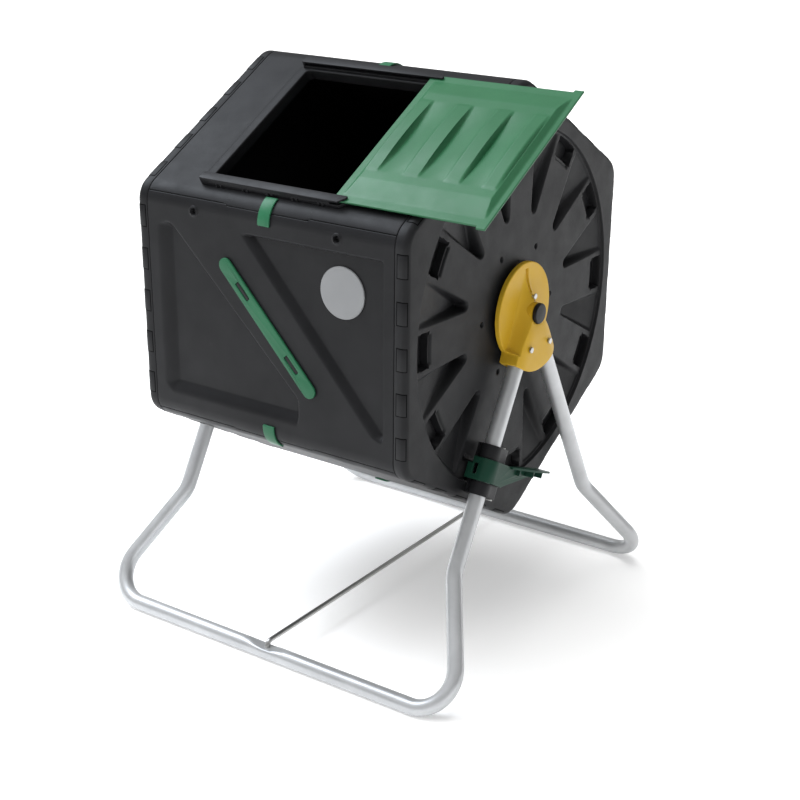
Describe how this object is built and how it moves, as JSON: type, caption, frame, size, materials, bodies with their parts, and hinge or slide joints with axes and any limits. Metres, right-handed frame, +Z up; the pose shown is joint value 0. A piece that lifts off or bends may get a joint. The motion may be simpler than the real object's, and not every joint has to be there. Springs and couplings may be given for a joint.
{
  "type": "compost tumbler",
  "caption": "Hexagonal compost tumbler turning on a bent-tube stand, with a sliding filling door, an inner mixing bar and a lever lock for the drum.",
  "frame": {"origin": "on the floor under the centre of the drum, midway between the two base tubes", "axes": "+X along the axle, towards the end with the drum lock; +Y from the front (the face with the badge) to the back; +Z up"},
  "size_m": [0.5988, 0.5822, 0.7689],
  "materials": {
    "black_plastic": "fine moulded texture",
    "green_plastic": "satin",
    "dark_green_plastic": "satin",
    "yellow_plastic": "satin",
    "silver_paint": "satin paint",
    "plain_steel": "zinc plated",
    "badge_plate": "printed plate"
  },
  "bodies": {
    "stand": {"stand_tube_front": "silver_paint", "stand_tube_rear": "silver_paint", "tie_rod": "plain_steel", "hub_right": "yellow_plastic", "hub_left": "yellow_plastic", "hub_screws_right": "plain_steel", "hub_screws_left": "plain_steel", "lock_bracket": "black_plastic", "lever_pin": "plain_steel"},
    "drum": {"axle_pin_right": "black_plastic", "axle_pin_left": "black_plastic", "end_panel_right": "black_plastic", "end_panel_left": "black_plastic", "panel_front": "black_plastic", "panel_door": "black_plastic", "panel_top_back": "black_plastic", "panel_back": "black_plastic", "panel_bottom_back": "black_plastic", "panel_bottom_front": "black_plastic", "seam_clips": "green_plastic", "rail_front": "black_plastic", "rail_back": "black_plastic", "key_strip": "green_plastic", "mixing_bar": "black_plastic", "badge": "badge_plate"},
    "door": {"door": "green_plastic"},
    "lever": {"lock_lever": "dark_green_plastic"}
  },
  "joints": [
    {"name": "drum_spin", "type": "hinge", "parent": "stand", "child": "drum", "pos_m": [0, 0, 0.467], "axis": [1, 0, 0], "range_deg": [-120, 60]},
    {"name": "door_slide", "type": "slide", "parent": "drum", "child": "door", "axis": [1, 0, 0], "range_m": [-0.203, 0]},
    {"name": "lock_lever_turn", "type": "hinge", "parent": "stand", "child": "lever", "pos_m": [0.238, -0.08788, 0.26629], "axis": [0, -0.4911, -0.8711], "range_deg": [0, 10]}
  ]
}
